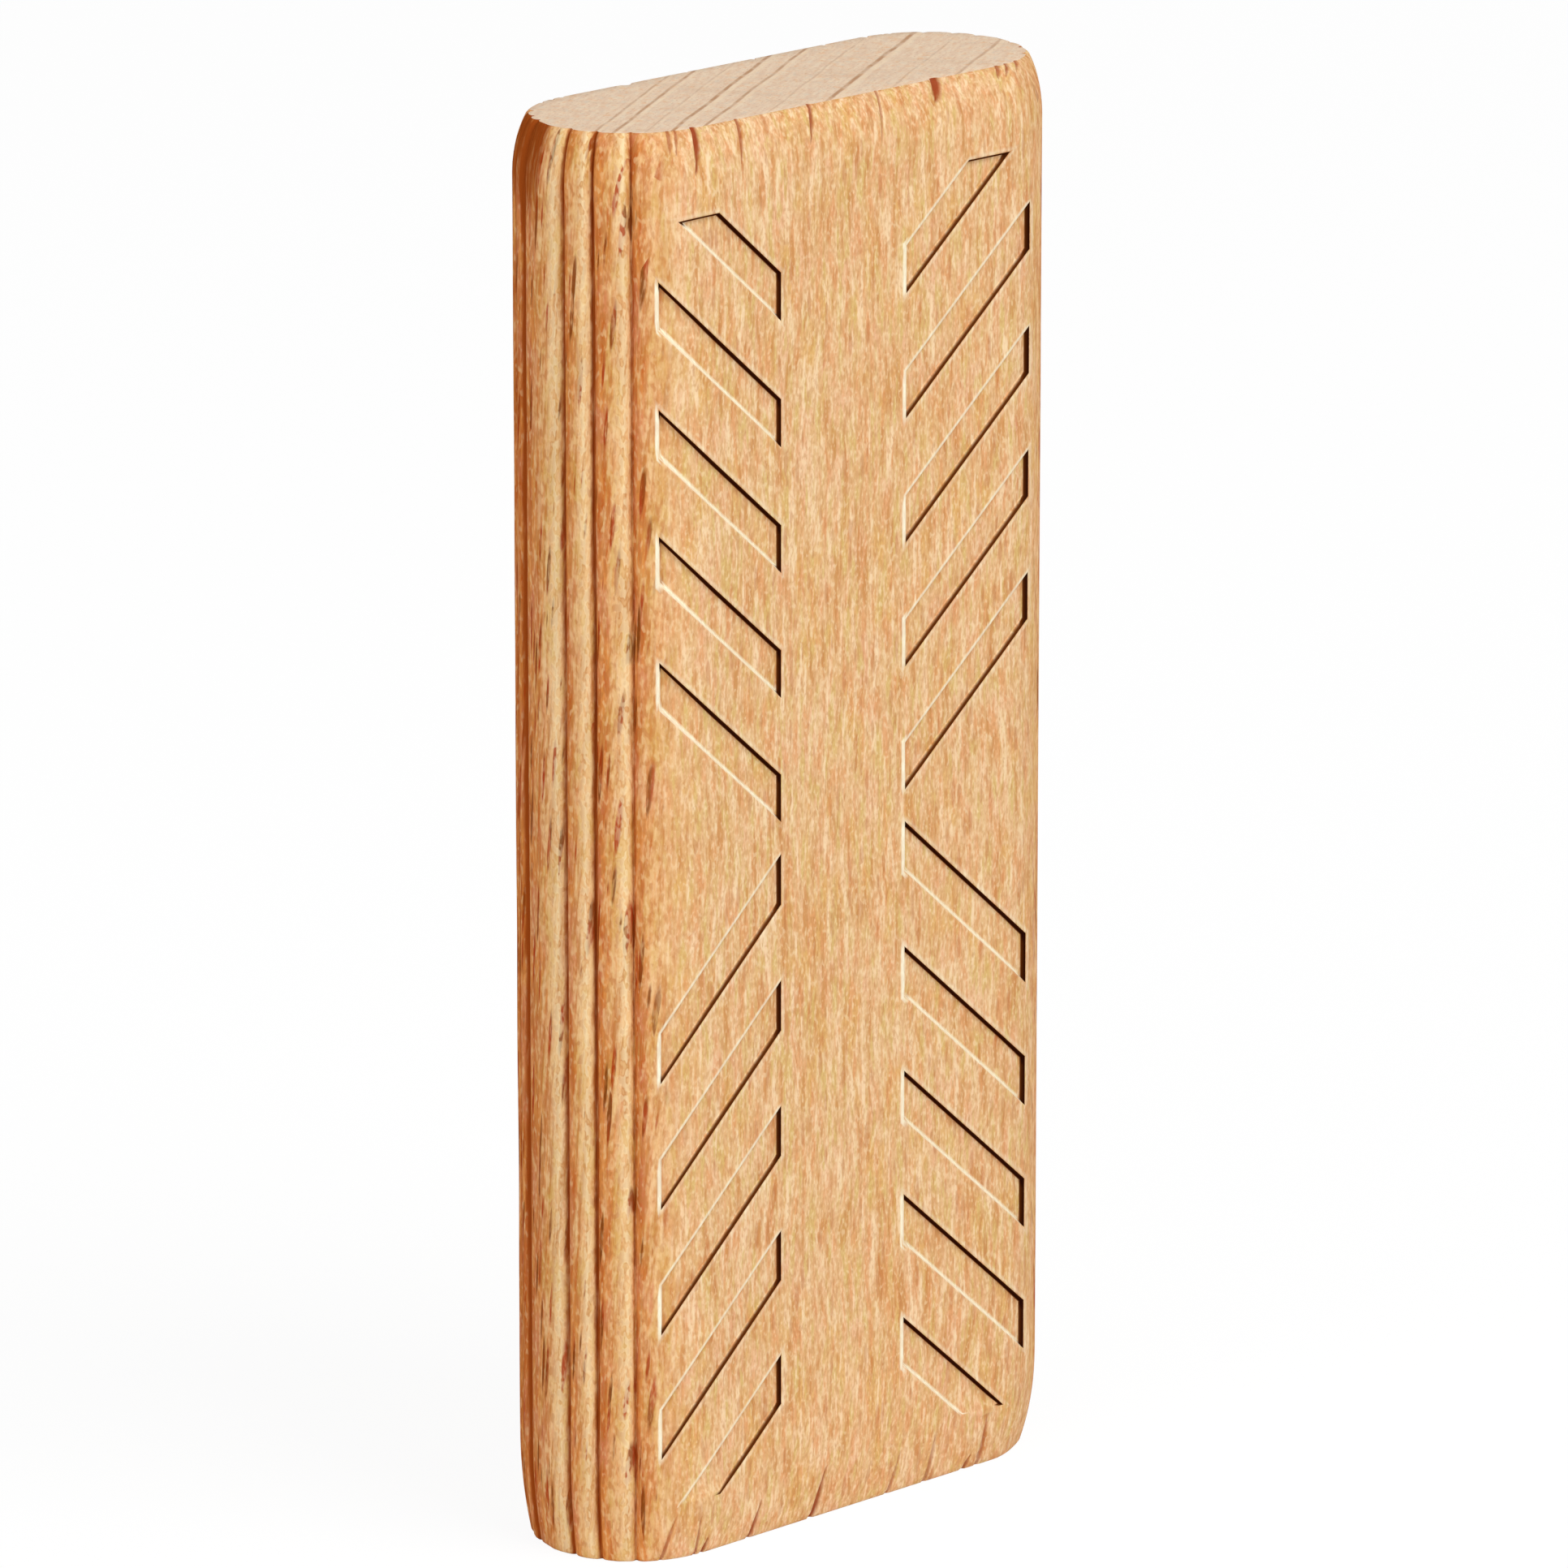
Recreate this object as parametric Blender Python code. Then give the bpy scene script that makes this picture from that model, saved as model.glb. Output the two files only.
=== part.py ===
"""Loose tenon: one pressed piece of beech that joins two boards.

The tenon stands on one end, centred on the origin, with its length along +Z,
its width along X and its thickness along Y. Each half of its length glues into
a round-ended mortise, so its narrow edges are half round. Lengthwise flutes on
those edges let air and glue escape, and shallow slanted pockets pressed into
both broad faces carry the glue. The ends are rounded a little to lead it in.
"""
import math

import bmesh
import bpy
from mathutils import Vector
from mathutils.geometry import intersect_line_line_2d

# Overall sizes, in metres
LENGTH = 0.0500
WIDTH = 0.0220
THICKNESS = 0.0080

# Lead-in rounding: how far it reaches along the tenon, and how much it takes off
END_ROUNDING_LENGTH = 0.0032
END_ROUNDING_INSET = 0.00050

# Flutes on the half-round edges, spaced evenly across the thickness
FLUTE_PITCH = 0.00098
FLUTE_SHOULDER = 0.00080
FLUTE_DEPTH = 0.00030
FLUTE_HALF_WIDTH = 0.00016
RIB_CROWN = 0.00006
FLUTE_SHARE_AT_END = 0.55

# Glue pockets: slanted bars in two columns, mirrored about the middle of the length
POCKET_PITCH = 0.00438
POCKET_HEIGHT = 0.00174
POCKET_RISE = 0.00500
POCKET_FIRST = 0.00054
POCKET_END_MARGIN = 0.00292
POCKET_SIDE_MARGIN = 0.00240
CENTRE_BAND = 0.00597
POCKET_DEPTH = 0.00020
POCKET_DRAFT = math.radians(20.0)
POCKET_PATTERN_SHIFT = -0.00045

# Fineness of the curved surfaces
POINTS_PER_RIB = 6
SHOULDER_STEPS = 6
ROUNDING_STEPS = 6

BEECH_COLOUR = (0.745, 0.448, 0.215, 1.0)

EDGE_RADIUS = THICKNESS / 2
HALF_FLAT = WIDTH / 2 - EDGE_RADIUS
MIDDLE = LENGTH / 2


def clear_scene():
    for item in list(bpy.data.objects):
        bpy.data.objects.remove(item)


def beech_material():
    material = bpy.data.materials.new("beech")
    material.use_nodes = True
    shader = material.node_tree.nodes["Principled BSDF"]
    shader.inputs["Base Color"].default_value = BEECH_COLOUR
    shader.inputs["Roughness"].default_value = 0.62
    shader.inputs["Metallic"].default_value = 0.0
    return material


def flute_angles():
    """Angles of the flutes round a half-round edge, from its centre line."""
    count = int((EDGE_RADIUS - FLUTE_SHOULDER) / FLUTE_PITCH)
    upper = [math.asin(FLUTE_PITCH * (i + 1) / EDGE_RADIUS) for i in range(count)]
    return [-angle for angle in reversed(upper)] + upper


def edge_depths():
    """Pairs of angle and depth that describe one fluted edge, from -Y round to +Y."""
    flutes = flute_angles()
    lip = FLUTE_HALF_WIDTH / EDGE_RADIUS
    first, last = (flutes[0], flutes[-1]) if flutes else (0.0, 0.0)
    quarter = math.pi / 2
    depths = []
    for i in range(SHOULDER_STEPS):
        share = i / SHOULDER_STEPS
        depths.append((-quarter + (first - lip + quarter) * share, 0.0))
    for i, angle in enumerate(flutes):
        depths.append((angle - lip, RIB_CROWN if i else 0.0))
        depths.append((angle, FLUTE_DEPTH))
        depths.append((angle + lip, RIB_CROWN if angle != last else 0.0))
        if angle == last:
            continue
        start, end = angle + lip, flutes[i + 1] - lip
        for j in range(1, POINTS_PER_RIB):
            share = j / POINTS_PER_RIB
            crown = RIB_CROWN * (2 * share - 1) ** 2
            depths.append((start + (end - start) * share, crown))
    for i in range(1, SHOULDER_STEPS + 1):
        share = i / SHOULDER_STEPS
        depths.append((last + lip + (quarter - last - lip) * share, 0.0))
    return depths


def section(inset, flute_share):
    """Outline of the tenon across its length, as (x, y) points in order."""
    points = []
    for side in (1, -1):
        for angle, depth in edge_depths():
            radius = EDGE_RADIUS - inset - depth * flute_share
            x = HALF_FLAT + radius * math.cos(angle)
            y = radius * math.sin(angle)
            points.append((side * x, side * y))
    return points


def rounding_inset(from_end):
    """Amount that the lead-in rounding takes off at a distance from the end."""
    if from_end >= END_ROUNDING_LENGTH:
        return 0.0
    reach, drop = END_ROUNDING_LENGTH, END_ROUNDING_INSET
    radius = (reach**2 + drop**2) / (2 * drop)
    return radius - math.sqrt(radius**2 - (reach - from_end) ** 2)


def stations():
    """Heights of the section rings, closer together towards the ends."""
    steps = [END_ROUNDING_LENGTH * (i / ROUNDING_STEPS) ** 1.25 for i in range(ROUNDING_STEPS + 1)]
    return steps + [LENGTH - step for step in reversed(steps)]


def skin(rings):
    """Closed mesh through rings of equally many points."""
    mesh = bmesh.new()
    loops = [[mesh.verts.new(point) for point in ring] for ring in rings]
    count = len(loops[0])
    for lower, upper in zip(loops, loops[1:]):
        for i in range(count):
            j = (i + 1) % count
            mesh.faces.new((lower[i], lower[j], upper[j], upper[i]))
    mesh.faces.new(list(reversed(loops[0])))
    mesh.faces.new(loops[-1])
    bmesh.ops.recalc_face_normals(mesh, faces=mesh.faces)
    return mesh


def add_object(name, mesh, material=None):
    data = bpy.data.meshes.new(name)
    mesh.to_mesh(data)
    mesh.free()
    item = bpy.data.objects.new(name, data)
    bpy.context.scene.collection.objects.link(item)
    if material:
        data.materials.append(material)
    return item


def make_helper(item):
    item.hide_render = True
    item.display_type = "WIRE"


def subtract(target, cutter):
    cut = target.modifiers.new("cut " + cutter.name, "BOOLEAN")
    cut.operation = "DIFFERENCE"
    cut.solver = "EXACT"
    cut.object = cutter


def fluted_body():
    """The tenon before its pockets are pressed."""
    rings = []
    for height in stations():
        inset = rounding_inset(min(height, LENGTH - height))
        taken = inset / END_ROUNDING_INSET
        share = 1 - (1 - FLUTE_SHARE_AT_END) * taken
        rings.append([(x, y, height) for x, y in section(inset, share)])
    return skin(rings)


def pocket_floor():
    """Core that the pockets stop at, so that they follow the rounded edges."""
    outline = section(POCKET_DEPTH, 0.0)
    return skin([[(x, y, height) for x, y in outline] for height in (-LENGTH, 2 * LENGTH)])


def clip_above(outline, limit):
    """Part of a convex outline at or below a level."""
    kept = []
    for i, point in enumerate(outline):
        before = outline[i - 1]
        if (before.y - limit) * (point.y - limit) < 0:
            share = (limit - before.y) / (point.y - before.y)
            kept.append(before.lerp(point, share))
        if point.y <= limit:
            kept.append(point)
    return kept


def grown(outline, distance):
    """Convex outline, anticlockwise, moved outwards by a distance."""
    sides = []
    for i, point in enumerate(outline):
        after = outline[(i + 1) % len(outline)]
        along = (after - point).normalized()
        shift = Vector((along.y, -along.x)) * distance
        reach = along * WIDTH
        sides.append((point + shift - reach, after + shift + reach))
    return [intersect_line_line_2d(*sides[i - 1], *sides[i]) for i in range(len(sides))]


def pocket_outlines():
    """Outlines of the pockets on one face, as (x, height) points, anticlockwise."""
    inner = CENTRE_BAND / 2
    outer = WIDTH / 2 - POCKET_SIDE_MARGIN
    limit = MIDDLE - POCKET_END_MARGIN
    outlines = []
    low = POCKET_FIRST
    while low + POCKET_HEIGHT < limit:
        bar = [
            Vector((inner, low)),
            Vector((outer, low + POCKET_RISE)),
            Vector((outer, low + POCKET_RISE + POCKET_HEIGHT)),
            Vector((inner, low + POCKET_HEIGHT)),
        ]
        bar = clip_above(bar, limit)
        for across in (1, -1):
            for along in (1, -1):
                turned = [
                    Vector((across * p.x + POCKET_PATTERN_SHIFT, MIDDLE + along * p.y))
                    for p in bar
                ]
                outlines.append(turned if across * along > 0 else turned[::-1])
        low += POCKET_PITCH
    return outlines


def pocket_cutters():
    """Tapered punches, one for each pocket of both broad faces."""
    punches = bmesh.new()
    outside = EDGE_RADIUS + POCKET_DEPTH
    inside = EDGE_RADIUS - 3 * POCKET_DEPTH
    spread = math.tan(POCKET_DRAFT)
    for outline in pocket_outlines():
        wide = grown(outline, POCKET_DEPTH * spread)
        narrow = grown(outline, (inside - EDGE_RADIUS) * spread)
        for face in (-1, 1):
            rings = [
                [(p.x, face * inside, p.y) for p in narrow],
                [(p.x, face * outside, p.y) for p in wide],
            ]
            punch = skin(rings)
            data = bpy.data.meshes.new("punch")
            punch.to_mesh(data)
            punch.free()
            punches.from_mesh(data)
            bpy.data.meshes.remove(data)
    return punches


def shade(item, angle):
    item.data.shade_smooth()
    item.data.set_sharp_from_angle(angle=math.radians(angle))


def main():
    clear_scene()
    floor = add_object("pocket_floor_guide", pocket_floor())
    punches = add_object("pocket_cutter", pocket_cutters())
    subtract(punches, floor)
    tenon = add_object("tenon", fluted_body(), beech_material())
    subtract(tenon, punches)
    make_helper(floor)
    make_helper(punches)
    shade(tenon, 30.0)


main()
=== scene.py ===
"""Looks of the loose tenon: raw pressed beech on a pale floor.

The wood is one mesh that stands for the frame's tenon. Each broad face is laid out as a
flat strip of surface, u millimetres round the section and z millimetres up, with points
gathered where the pockets, flutes and torn fibres are. The strips are wrapped round the
half-round edges, pushed in by the depth of the relief, and closed by two end faces.
Lengths in the mesh code are millimetres. The scene itself is in metres.
"""

import math

import bpy
import numpy as np
from mathutils import Matrix, Vector, noise
from mathutils.geometry import delaunay_2d_cdt, intersect_line_line_2d


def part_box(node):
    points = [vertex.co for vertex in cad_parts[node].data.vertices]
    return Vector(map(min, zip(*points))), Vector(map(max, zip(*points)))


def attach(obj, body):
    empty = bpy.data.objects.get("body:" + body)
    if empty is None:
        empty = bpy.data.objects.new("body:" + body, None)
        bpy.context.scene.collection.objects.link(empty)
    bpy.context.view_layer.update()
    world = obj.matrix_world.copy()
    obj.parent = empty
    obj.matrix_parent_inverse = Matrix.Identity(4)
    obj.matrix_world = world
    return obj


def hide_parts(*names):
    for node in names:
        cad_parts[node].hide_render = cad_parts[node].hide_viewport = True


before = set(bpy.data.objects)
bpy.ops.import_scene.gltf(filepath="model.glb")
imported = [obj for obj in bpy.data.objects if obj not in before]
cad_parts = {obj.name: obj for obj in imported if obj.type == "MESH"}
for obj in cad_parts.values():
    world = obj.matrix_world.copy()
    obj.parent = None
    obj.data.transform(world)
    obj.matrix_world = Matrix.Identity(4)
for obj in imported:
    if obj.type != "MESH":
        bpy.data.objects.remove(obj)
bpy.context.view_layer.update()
MM = 0.001

# Sizes of the tenon, from the frame
LOW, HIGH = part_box("tenon")
WIDTH = (HIGH.x - LOW.x) / MM
THICKNESS = (HIGH.y - LOW.y) / MM
LENGTH = (HIGH.z - LOW.z) / MM
RADIUS = THICKNESS / 2
HALF_FLAT = WIDTH / 2 - RADIUS
HALF_STRIP = HALF_FLAT + RADIUS * math.pi / 2
MIDDLE = LENGTH / 2
CENTRE = Vector((0.0, 0.0, MIDDLE * MM))

# Lead-in rounding of the top and the foot, each as (length, inset). The flat part of the
# faces and the right corner of the foot lose a little more, and both rims are worn.
TOP_ROUNDING = (2.0, 0.50)
FOOT_ROUNDING = (3.6, 0.38)
CHEEK_EXTRA_LENGTH = 1.4
CHEEK_EXTRA_INSET = 0.08
FOOT_CORNER_WIDTH = 2.0
FOOT_CORNER_LENGTH = 3.0
FOOT_CORNER_INSET = 0.15
WORN_EDGE_LENGTH = 0.10
WORN_EDGE_INSET = 0.06

# Flutes of the half-round edges, the ribs between them, and the shoulders beside them
FLUTE_PITCH = 0.98
FLUTE_COUNT = 3
FLUTE_DEPTH = 0.36
FLUTE_HALF_WIDTH = 0.17
FLUTE_SHARPNESS = 1.5
FLUTE_SHARE_AT_END = 0.55
SEEN_FLUTE_DRIFT = math.radians(4.2)
HIDDEN_FLUTE_DRIFT = math.radians(-7.5)
SHOULDER_WIDTH = 0.30
RIB_CROWN = 0.17
RIB_WAVER = 0.016
RIB_WAVER_BLEND = 0.5
RIB_WAVER_SCALE = (1.3, 0.22)
RIB_WAVER_SEED = 9.7

# The flutes wander a little, those of each edge in their own way. The wander fades between
# two distances from the edge's centre line, where the two strips meet.
WANDER = 0.05
WANDER_SCALE = (1.0, 0.11)
WANDER_SEED = 3.1
WANDER_APART = 40.0
WANDER_FADES_FROM = 1.2
WANDER_FADES_TO = 0.4

# Tones of the fluted edges: stain and painted shade in the flutes, painted shade on one flank
# of each rib, which starts at a share of the rib's width, and a painted highlight beside each
# flute. The ribs on the far side of the edge in view have painted shade all over, and are
# darker towards their top ends.
STAIN_AND_SHADE_HALF_WIDTH = 0.20
SHOULDER_STAIN_AND_SHADE = 0.70
SHOULDER_STAIN_AND_SHADE_WIDTH = 0.18
SHOULDER_FLANK_WIDTH = 0.75
FLANK_START = 0.38
SEAM_FLANK_START = 0.22
FLANK_SPAN = 0.48
RIDGE_SPAN = (0.14, 0.23, 0.42)
FAR_RIB_PAINTED_SHADE = 0.44
TOP_DARKENING = 0.85
TOP_DARKENING_SPAN = (1.5, 4.8)
EDGE_BLEND = (0.8, 3.0)

# Glue pockets: the two columns as (inner, outer) edges, and the two halves of the length as
# (way, first, pitch, height, rise, reach), measured from the middle. Those of the face in
# view are laid out on its plane, as the photograph shows them, and the rest as the frame.
SEEN_COLUMNS = ((-3.83, -9.53), (2.09, 8.03))
SEEN_HALVES = ((1, 0.54, 4.36, 1.66, 4.97, 22.13), (-1, 0.60, 4.47, 1.78, 5.20, 22.86))
HIDDEN_COLUMNS = ((-3.435, -9.05), (2.535, 8.15))
HIDDEN_HALVES = ((1, 0.54, 4.38, 1.74, 5.00, 22.08), (-1, 0.54, 4.38, 1.74, 5.00, 22.08))

# Relief of a pocket: its wall, its crowned floor, and the lip that is raised round its rim.
# The lowest pockets run out to nothing between two heights.
POCKET_DEPTH = 0.16
POCKET_WALL = 0.115
POCKET_FLOOR_CROWN = 0.02
POCKET_CROWN_WIDTH = 0.4
FOOT_RUNOUT = (2.0, 2.8)
RIM_OVERLAP = 0.02
LIP_HEIGHT = 0.014
LIP_AT_RIM = 0.2
LIP_WIDTH = 0.20
LIP_PEAK = 0.07

# Painted shade and painted highlight on a pocket's walls, by the direction, in degrees, that
# the side lies in from the pocket's middle: dark on the upper and right sides, whose walls
# face away from light from the upper right, and pale on the lower and left sides, which face
# it. Each row is the direction, the dark and the pale weight, how wide the tone is, and how
# far outside the pocket it starts, as the painted highlight does on the lip round the rim.
WALL_PAINTED_LIGHT = (
    (-180, 0.00, 1.00, 0.18, 0.17),
    (-131, 0.00, 1.00, 0.13, 0.00),
    (-90, 0.00, 0.00, 0.08, 0.00),
    (-51, 0.88, 0.00, 0.0595, 0.00),
    (0, 1.00, 0.00, 0.070, 0.00),
    (48, 1.00, 0.00, 0.081, 0.00),
    (90, 0.86, 0.00, 0.076, 0.00),
    (130, 0.00, 0.75, 0.13, 0.10),
    (180, 0.00, 1.00, 0.18, 0.17),
)

# Strength of a tone by the distance past its start, in widths of the tone. A painted
# highlight ends where it runs out past painted shade, and the shaded walls have a faint
# painted highlight, a halo, on their lip.
TONE_PROFILE = ((-1.45, -1.0, -0.15, 0.10), (0.0, 1.0, 1.0, 0.0))
DARK_ENOUGH = 0.5
PALE_END = (-0.02, 0.05)
HALO_HIGHLIGHT = 0.35

# Viewpoint of the photograph: distance and shifts in metres, lens and sensor in millimetres
CAMERA_AZIMUTH = math.radians(44.160)
CAMERA_ELEVATION = math.radians(15.483)
CAMERA_DISTANCE = 0.39264
CAMERA_LENS = 262.0
CAMERA_SENSOR = 36.0
CAMERA_ACROSS = 0.000121
CAMERA_UP = 0.000330

# How far a point of the face in view moves across and up its plane, for each millimetre
# that the rounding takes it back, when it is looked at from there
LEAN_ACROSS = math.tan(CAMERA_AZIMUTH)
LEAN_UP = math.tan(CAMERA_ELEVATION) / math.cos(CAMERA_AZIMUTH)
OUT_OF_SIGHT = HALF_FLAT + RADIUS * (math.pi / 2 - CAMERA_AZIMUTH)

# Spacing of the points of a strip: across its flutes, up its ends, round its pockets, as
# distances outside them, and over its tears, as shares of their length and width. The grid
# between them keeps clear of pockets and tears, and has this step.
GRID_STEP = 0.35
FLUTE_COLUMNS = (-0.30, -0.17, -0.09, -0.03, 0.03, 0.09, 0.17, 0.30)
SEAM_CLEARANCE = 0.06
END_ROWS = (0.0, 0.03, 0.10, 0.22, 0.40, 0.65, 0.95, 1.30, 1.65, 2.0, 2.35, 2.7, 3.05)
POCKET_RINGS = (0.20, 0.13, 0.07, 0.010, -0.010, -0.075, -0.115, -0.155, -0.20, -0.42)
POCKET_CLEARANCE = 0.26
TEAR_STEPS = (0.0, 0.12, 0.28, 0.46, 0.64, 0.82, 1.0, 1.15)
TEAR_OFFSETS = (-0.9, -0.5, -0.25, 0.0, 0.25, 0.5, 0.9)
TEAR_MOUTH_CLEARANCE = 0.2
TEAR_REACH = 1.2
TEAR_SIDE_REACH = 1.1

# Spacing of the points of an end face, and how far they keep from its rim
CAP_STEP = 0.40
CAP_MARGIN = 0.12
CAP_FLUTE_MARGIN = 0.6 * FLUTE_DEPTH

# How near points lie that count as one, on an end face, or on the line where strips meet
POINT_TOLERANCE = 1e-6
LEVEL_TOLERANCE = 1e-5
SEAM_TOLERANCE = 1e-4
SEAM_DIGITS = 4

# Faces that meet at a wider angle than this are shaded with a sharp edge
SMOOTH_ANGLE = math.radians(42.0)

# Uneven surface: how deep the wood lies on the whole, and its slow swell
FACE_SINK = 0.024
SWELL = 0.007
SWELL_SCALE = (0.22, 0.12)
SWELL_SEED = 5.5

# Wood: the rays run nearly across the width, at this angle to the broad faces in plan.
# The flecks that they show on the sides lean, by this much for each millimetre up.
RAY_ANGLE = math.radians(31.0)
FLECK_LEAN = 0.07

# Rays that show as lines on the end faces: distance across the rays, half width, strength
RAY_LINES = (
    (3.90, 0.05, 0.60),
    (3.27, 0.06, 0.85),
    (2.30, 0.04, 0.30),
    (1.46, 0.07, 1.00),
    (0.58, 0.06, 0.85),
    (-0.90, 0.04, 0.35),
    (-2.35, 0.08, 1.00),
    (-3.90, 0.04, 0.30),
    (-5.50, 0.06, 0.60),
)

# Fibres torn out at the ends of a broad face: where the tear opens on the end, how far it
# runs along the tenon, its width, its depth, and how far its inner tip leans to +X
TOP_TEARS = (
    (-8.50, 0.75, 0.20, 0.07, -0.05),
    (-8.20, 0.70, 0.14, 0.06, -0.12),
    (-7.33, 1.35, 0.34, 0.16, -0.30),
    (-5.30, 1.45, 0.20, 0.09, -0.30),
    (-1.93, 1.15, 0.20, 0.12, -0.40),
    (1.22, 1.75, 0.15, 0.06, -0.32),
    (4.05, 0.85, 0.50, 0.17, -0.38),
    (7.04, 0.46, 0.24, 0.09, -0.26),
    (7.60, 0.46, 0.20, 0.10, -0.45),
    (8.30, 0.42, 0.20, 0.08, -0.55),
)
FOOT_TEARS = (
    (-1.95, 1.75, 0.30, 0.14, 0.36),
    (-4.95, 1.30, 0.24, 0.11, 0.32),
    (-7.55, 1.30, 0.17, 0.07, 0.04),
    (-7.20, 0.55, 0.26, 0.12, 0.17),
    (-8.95, 1.80, 0.18, 0.06, 0.55),
    (1.76, 1.45, 0.22, 0.06, 0.30),
    (3.60, 2.00, 0.24, 0.06, 0.22),
    (5.50, 0.55, 0.26, 0.11, 0.26),
    (6.20, 2.20, 0.24, 0.06, 0.16),
)

# Form of a tear: how late it narrows, the half width of its tip, how steep its hollow and
# its stain are, the share of its depth that it loses, and the depth that is fully stained
TEAR_NARROWING = 1.6
TEAR_TIP = 1e-6
TEAR_STEEPNESS = 1.6
TEAR_STAIN_STEEPNESS = 2.2
TEAR_RISE = 0.5
TEAR_FULL_STAIN = 0.16

# Studio, in metres. Where the floor is seen directly, a white glow stands for a share of it.
WHITE = (1.0, 1.0, 1.0, 1.0)
WORLD_LEVEL = 0.24
LIGHT_DISTANCE = 0.8
FLOOR_HALF_WIDTH = 2.0
FLOOR_COLOUR = (0.90, 0.90, 0.90, 1.0)
FLOOR_GLOW = 1.03
FLOOR_GLOW_SHARE = 0.90

# Weights of the wood's points that its materials read
WEIGHTS = ("groove", "flank_shade", "ridge_highlight", "rim_painted_shade", "rim_painted_highlight", "torn", "edge")


def ramp_up(value, start, end):
    """0 below start, 1 beyond end, smooth between them."""
    share = np.clip((value - start) / (end - start), 0, 1)
    return share * share * (3 - 2 * share)


def ramp_down(value, start, end):
    """1 below start, 0 beyond end, smooth between them."""
    return 1 - ramp_up(value, start, end)


def wave(points, scale, seed):
    """Smooth noise between about -1 and 1 at many points, each (u, z)."""
    su, sz = scale
    return np.array([noise.noise(Vector((u * su, z * sz, seed))) for u, z in points])


def planar_x(u):
    """Distance across the tenon of a point of the strip."""
    beyond = np.clip(np.abs(u) - HALF_FLAT, 0, None)
    return np.sign(u) * (np.minimum(np.abs(u), HALF_FLAT) + RADIUS * np.sin(beyond / RADIUS))


def strip_u(x):
    """Place on the strip of a point that lies this far across the tenon."""
    beyond = max(abs(x) - HALF_FLAT, 0.0)
    around = RADIUS * math.asin(min(beyond / RADIUS, 1.0))
    return math.copysign(min(abs(x), HALF_FLAT) + around, x)


def set_back(u):
    """How far the rounding takes a point of the strip back from the face's plane."""
    beyond = np.clip(np.abs(u) - HALF_FLAT, 0, None)
    return RADIUS * (1 - np.cos(beyond / RADIUS))


def pattern_place(u, z, face):
    """Point of the pocket layout that lies over a point of the strip."""
    if face > 0:
        return planar_x(u), z
    back = set_back(u)
    across = planar_x(u) - LEAN_ACROSS * back
    return np.where(u > OUT_OF_SIGHT, WIDTH, across), z + LEAN_UP * back


def strip_place(point, face):
    """Point of the strip that lies under a point of the pocket layout."""
    if face > 0 or abs(point.x) < HALF_FLAT:
        return Vector((strip_u(point.x), point.y))
    lean = math.copysign(LEAN_ACROSS, point.x)
    reach = abs(point.x) - HALF_FLAT + RADIUS * lean
    angle = math.asin(reach / (RADIUS * math.hypot(1.0, lean))) - math.atan2(lean, 1.0)
    u = math.copysign(HALF_FLAT + RADIUS * angle, point.x)
    return Vector((u, point.y - LEAN_UP * RADIUS * (1 - math.cos(angle))))


def flute_places(drift):
    """Distances u of the flutes of one edge, from the broad face to its centre.

    Drift is an angle that carries the innermost flute round the edge, and the next less.
    """
    angles = [math.acos(FLUTE_PITCH * n / RADIUS) for n in range(FLUTE_COUNT, 0, -1)]
    span = angles[-1] - angles[0]
    angles = [angle + drift * (angle - angles[0]) / span for angle in angles]
    return [HALF_FLAT + RADIUS * angle for angle in angles]


def drift_of(face, side):
    """The innermost flutes of the edge in view lie a little off even spacing."""
    if side > 0:
        return 0.0
    return SEEN_FLUTE_DRIFT if face < 0 else HIDDEN_FLUTE_DRIFT


def rounding_depth(u, z):
    """Depth of the lead-in rounding and of the worn edges of both ends."""
    depth = np.zeros_like(z)
    for (length, inset), away in ((FOOT_ROUNDING, z), (TOP_ROUNDING, LENGTH - z)):
        radius = (length**2 + inset**2) / (2 * inset)
        depth += radius - np.sqrt(radius**2 - np.clip(length - away, 0, None) ** 2)
    from_end = np.minimum(z, LENGTH - z)
    cheek = ramp_down(np.abs(u), HALF_FLAT, HALF_FLAT + RADIUS)
    extra = np.clip(1 - from_end / CHEEK_EXTRA_LENGTH, 0, 1) ** 2
    worn = np.clip(1 - from_end / WORN_EDGE_LENGTH, 0, 1) ** 2
    corner = ramp_up(u, HALF_FLAT, HALF_FLAT + FOOT_CORNER_WIDTH)
    corner = corner * np.clip(1 - z / FOOT_CORNER_LENGTH, 0, 1) ** 2
    depth += cheek * CHEEK_EXTRA_INSET * extra + FOOT_CORNER_INSET * corner
    return depth + WORN_EDGE_INSET * worn


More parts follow.
